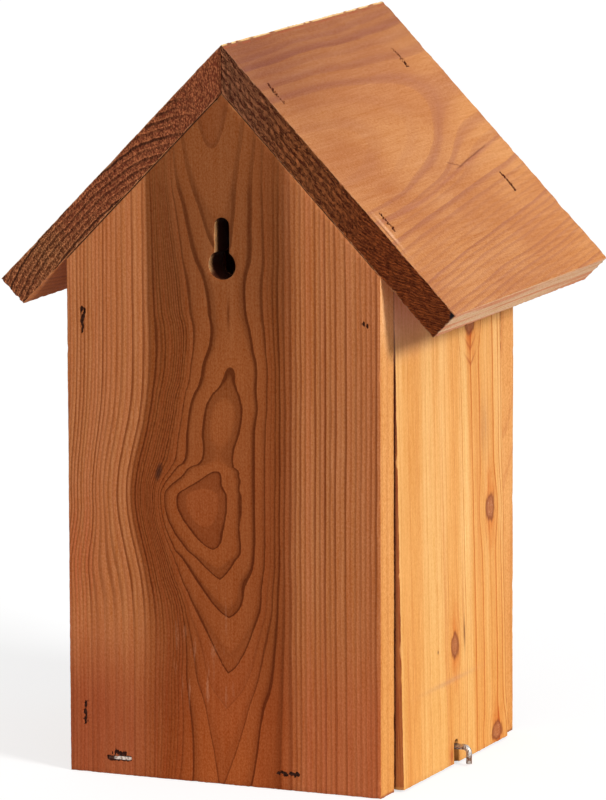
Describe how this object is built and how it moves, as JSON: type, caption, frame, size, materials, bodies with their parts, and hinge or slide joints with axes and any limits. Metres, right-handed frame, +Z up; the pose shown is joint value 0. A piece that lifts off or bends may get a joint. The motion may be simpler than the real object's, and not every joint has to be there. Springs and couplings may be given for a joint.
{
  "type": "nest box",
  "caption": "Hanging timber nest box with a mitred pitched roof, a round entrance in the front board, a keyhole in the back board and a side door that pivots on nails.",
  "frame": {"origin": "on the surface that the box stands on, under the middle of its four walls", "axes": "+Z up; +Y out of the back board, towards what the box hangs on; the entrance faces -Y and the side door is on the -X side"},
  "size_m": [0.2174, 0.179, 0.3282],
  "materials": {
    "weathered_board": "oiled reddish-brown softwood with a flame figure",
    "front_wood": "oiled reddish-brown softwood",
    "side_wood": "oiled honey-orange softwood, straight grain with small knots",
    "roof_wood": "oiled tan softwood with purple-brown figure",
    "steel": "dull galvanised wire"
  },
  "bodies": {
    "box": {"back_board": "weathered_board", "front_board": "front_wood", "fixed_side": "side_wood", "floor_board": "side_wood", "roof_board_fixed_side": "roof_wood", "roof_board_door_side": "roof_wood", "pivot_nail_back": "steel", "pivot_nail_front": "steel", "back_side_staple_1": "steel", "back_side_staple_2": "steel", "back_floor_staple_1": "steel", "back_floor_staple_2": "steel", "front_side_staple_1": "steel", "front_side_staple_2": "steel", "front_floor_staple_1": "steel", "front_floor_staple_2": "steel", "roof_fixed_staple_1": "steel", "roof_fixed_staple_2": "steel", "roof_fixed_staple_3": "steel", "roof_fixed_staple_4": "steel", "roof_door_staple_1": "steel", "roof_door_staple_2": "steel", "roof_door_staple_3": "steel", "roof_door_staple_4": "steel"},
    "door": {"side_door": "side_wood"},
    "catch": {"catch_hook": "steel"}
  },
  "joints": [
    {"name": "door_swing", "type": "hinge", "parent": "box", "child": "door", "pos_m": [-0.0675, 0, 0.209], "axis": [0, 1, 0], "range_deg": [-1.15, 58.85]},
    {"name": "catch_turn", "type": "hinge", "parent": "box", "child": "catch", "pos_m": [-0.07, 0, 0.0085], "axis": [1, 0, 0], "range_deg": [-90, 90]}
  ]
}
